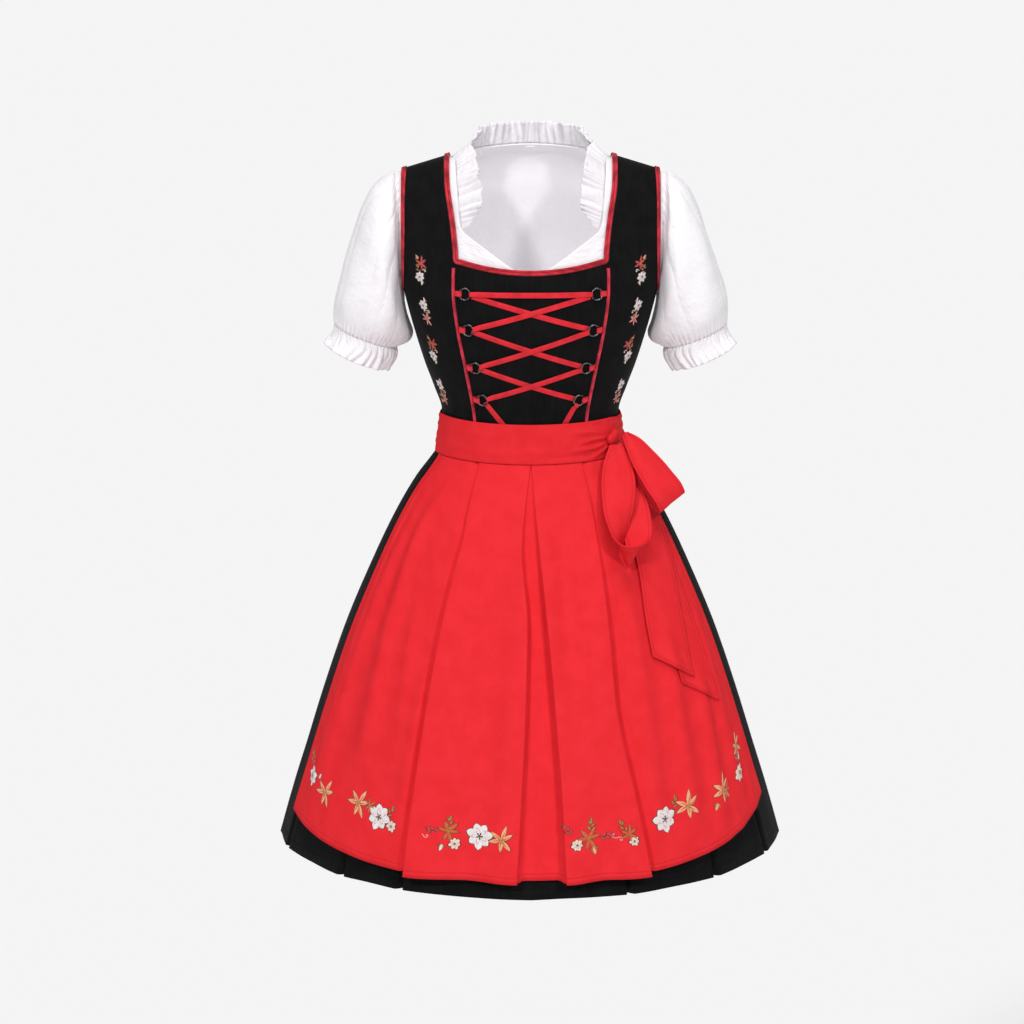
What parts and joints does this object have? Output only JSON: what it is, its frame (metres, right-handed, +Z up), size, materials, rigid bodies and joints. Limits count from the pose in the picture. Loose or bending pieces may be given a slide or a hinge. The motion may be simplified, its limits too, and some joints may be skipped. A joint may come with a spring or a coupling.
{
  "type": "dirndl dress with blouse and apron",
  "caption": "Pleated folk dress with a laced square-neck bodice, worn over a short puff-sleeved frilled blouse and under an apron tied in a side bow; hollow as worn, open at neck, cuffs and hem",
  "frame": {"origin": "between the shoulders, at the height of the tops of the bodice's straps, where the wearer carries the set", "axes": "+Z up, the front of the dress faces -Y, the wearer's left is +X"},
  "size_m": [0.7634, 0.6243, 1.0704],
  "materials": {
    "dress_cloth": "matt black woven cloth",
    "apron_cloth": "smooth red woven cloth with a soft sheen",
    "trim_braid": "red folded binding and piping",
    "lace_ribbon": "flat red satin ribbon",
    "blouse_cotton": "white cotton, lightly crinkled",
    "ring_metal": "antiqued silver-coloured wire"
  },
  "bodies": {
    "root": {"apron_band": "apron_cloth", "apron_panel": "apron_cloth", "apron_tie_round": "apron_cloth", "armhole_binding_left": "trim_braid", "armhole_binding_right": "trim_braid", "blouse_back": "blouse_cotton", "blouse_front_left": "blouse_cotton", "blouse_front_right": "blouse_cotton", "bodice_back_left": "dress_cloth", "bodice_back_right": "dress_cloth", "bodice_front": "dress_cloth", "bodice_side_left": "dress_cloth", "bodice_side_right": "dress_cloth", "bow_knot": "apron_cloth", "bow_loop_front": "apron_cloth", "bow_loop_side": "apron_cloth", "cuff_frill_left": "blouse_cotton", "cuff_frill_right": "blouse_cotton", "lace_end_left": "lace_ribbon", "lace_end_right": "lace_ribbon", "lace_falling_1": "lace_ribbon", "lace_falling_2": "lace_ribbon", "lace_falling_3": "lace_ribbon", "lace_level": "lace_ribbon", "lace_rising_1": "lace_ribbon", "lace_rising_2": "lace_ribbon", "lace_rising_3": "lace_ribbon", "neck_facing": "blouse_cotton", "neck_frill": "blouse_cotton", "neckline_binding": "trim_braid", "piping_left": "trim_braid", "piping_right": "trim_braid", "ring_1_left": "ring_metal", "ring_1_right": "ring_metal", "ring_2_left": "ring_metal", "ring_2_right": "ring_metal", "ring_3_left": "ring_metal", "ring_3_right": "ring_metal", "ring_4_left": "ring_metal", "ring_4_right": "ring_metal", "size_label": "blouse_cotton", "skirt_back": "dress_cloth", "skirt_front": "dress_cloth", "sleeve_left": "blouse_cotton", "sleeve_right": "blouse_cotton", "tab_1_left": "trim_braid", "tab_1_right": "trim_braid", "tab_2_left": "trim_braid", "tab_2_right": "trim_braid", "tab_3_left": "trim_braid", "tab_3_right": "trim_braid", "tab_4_left": "trim_braid", "tab_4_right": "trim_braid", "tie_tail_front": "apron_cloth", "tie_tail_side": "apron_cloth"}
  },
  "joints": []
}
